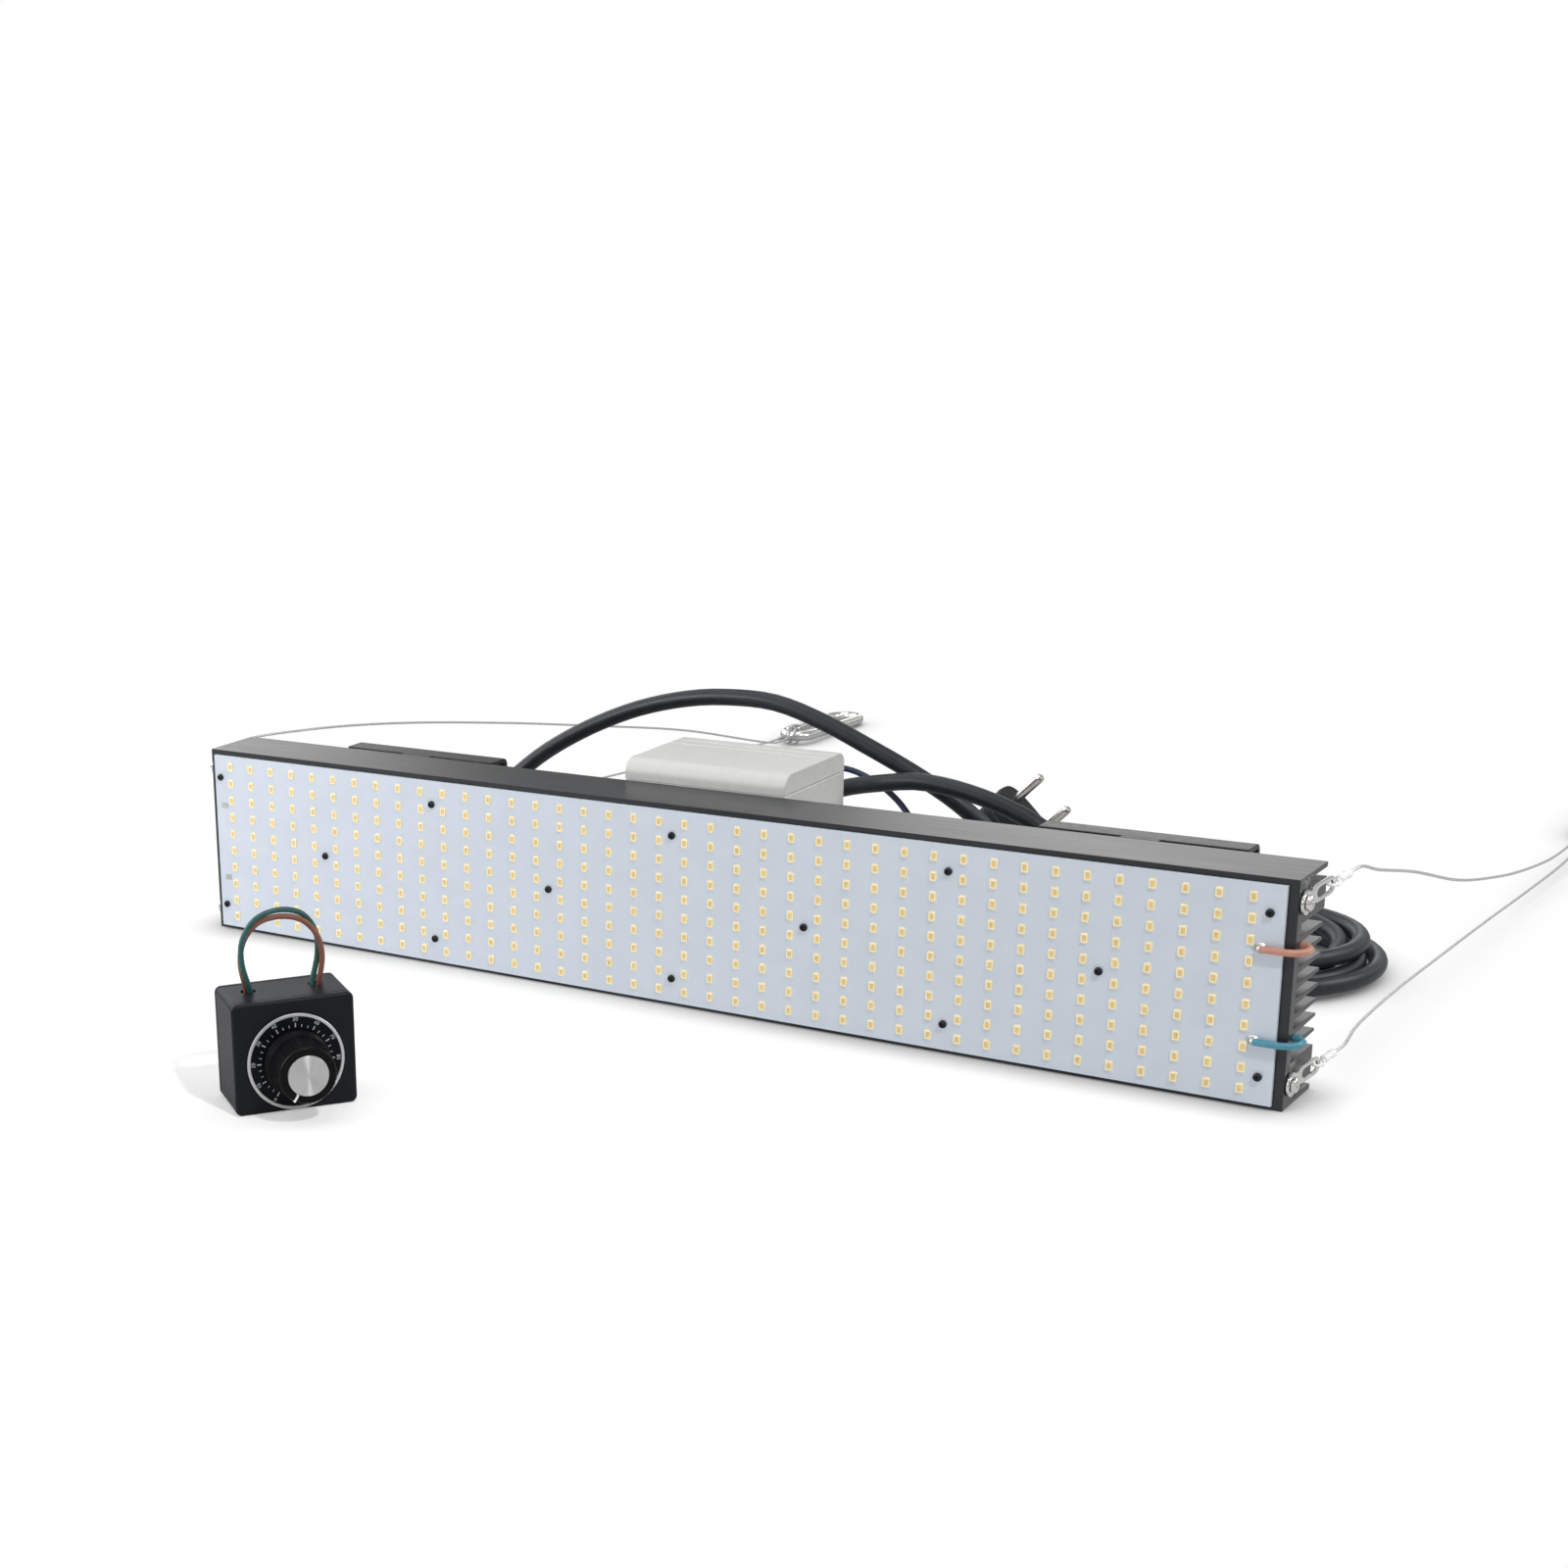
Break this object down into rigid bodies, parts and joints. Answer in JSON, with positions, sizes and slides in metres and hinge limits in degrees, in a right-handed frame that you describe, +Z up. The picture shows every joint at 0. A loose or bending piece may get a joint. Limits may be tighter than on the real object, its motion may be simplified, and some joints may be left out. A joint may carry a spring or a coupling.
{
  "type": "led grow light",
  "caption": "Slim LED grow light panel: LED board on a finned heat sink, rear driver with mains lead and plug, hanging wires with snap hooks, and a separate dial dimmer.",
  "frame": {"origin": "middle of the underside of the heat sink's lower flange, which the panel stands on", "axes": "+X along the panel towards the end with the LED leads, +Y out of its back, +Z up; the LEDs face -Y"},
  "size_m": [0.5191, 0.7529, 0.1137],
  "materials": {
    "black_anodised": "black anodised extrusion",
    "board_white": "white solder mask on a metal core",
    "black_screw": "black oxide",
    "chrome_steel": "bright nickel plate",
    "steel_wire": "stranded wire",
    "clear_sleeve": "pressed sleeve",
    "black_bracket": "black powder coat",
    "driver_grey": "light grey moulding",
    "cable_black": "black sheath",
    "tie_black": "nylon strap",
    "nickel_pin": "nickel plate",
    "lead_salmon": "insulated wire",
    "lead_teal": "insulated wire",
    "dimmer_black": "moulded black",
    "dial_black": "black plate",
    "knob_black": "black knob",
    "spun_aluminium": "spun disc",
    "lead_green": "insulated wire",
    "lead_brown": "insulated wire",
    "plain_metal": "zinc plate"
  },
  "bodies": {
    "light": {"board_screw_01": "black_screw", "board_screw_02": "black_screw", "board_screw_03": "black_screw", "board_screw_04": "black_screw", "board_screw_05": "black_screw", "board_screw_06": "black_screw", "board_screw_07": "black_screw", "board_screw_08": "black_screw", "board_screw_09": "black_screw", "board_screw_10": "black_screw", "board_screw_11": "black_screw", "board_screw_12": "black_screw", "board_screw_13": "black_screw", "board_screw_14": "black_screw", "cable_gland": "cable_black", "coil_tie": "tie_black", "dial_plate": "dial_black", "dimmer_back": "dimmer_black", "dimmer_case": "dimmer_black", "dimmer_lead_brown": "lead_brown", "dimmer_lead_green": "lead_green", "driver_base": "driver_grey", "driver_cover": "driver_grey", "driver_screw_left": "plain_metal", "driver_screw_right": "plain_metal", "end_screw_left_lower": "chrome_steel", "end_screw_left_upper": "chrome_steel", "end_screw_right_lower": "chrome_steel", "end_screw_right_upper": "chrome_steel", "ferrule_left_lower": "clear_sleeve", "ferrule_left_upper": "clear_sleeve", "ferrule_right_lower": "clear_sleeve", "ferrule_right_upper": "clear_sleeve", "hanger_wire_left_lower": "steel_wire", "hanger_wire_left_upper": "steel_wire", "hanger_wire_right_lower": "steel_wire", "hanger_wire_right_upper": "steel_wire", "heat_sink": "black_anodised", "led_board": "board_white", "link_lug_left_lower": "chrome_steel", "link_lug_left_upper": "chrome_steel", "link_lug_right_lower": "chrome_steel", "link_lug_right_upper": "chrome_steel", "mains_cable_arch": "cable_black", "mains_cable_coil": "cable_black", "mains_cable_stub": "cable_black", "negative_lead": "lead_teal", "plug_body": "cable_black", "plug_pin_1": "nickel_pin", "plug_pin_2": "nickel_pin", "positive_lead": "lead_salmon", "potentiometer": "plain_metal", "rear_bracket_left": "black_bracket", "rear_bracket_right": "black_bracket", "snap_hook_left": "chrome_steel", "snap_hook_right": "chrome_steel"},
    "knob": {"dimmer_knob": "knob_black", "knob_cap": "spun_aluminium"},
    "gate_left": {"snap_gate_left": "chrome_steel"},
    "gate_right": {"snap_gate_right": "chrome_steel"}
  },
  "joints": [
    {"name": "knob_turn", "type": "hinge", "parent": "light", "child": "knob", "pos_m": [-0.05736, -0.19921, 0.02], "axis": [-0.7965, 0.6046, 0], "range_deg": [0, 300]},
    {"name": "gate_left_open", "type": "hinge", "parent": "light", "child": "gate_left", "pos_m": [-0.20125, 0.47299, 0.00513], "axis": [0, -0.0311, -0.9995], "range_deg": [0, 16], "stiffness_Nm_per_rad": 0.05, "springref_deg": -17.19},
    {"name": "gate_right_open", "type": "hinge", "parent": "light", "child": "gate_right", "pos_m": [0.24165, 0.44119, 0.00513], "axis": [0, -0.0311, -0.9995], "range_deg": [0, 16], "stiffness_Nm_per_rad": 0.05, "springref_deg": -17.19}
  ]
}
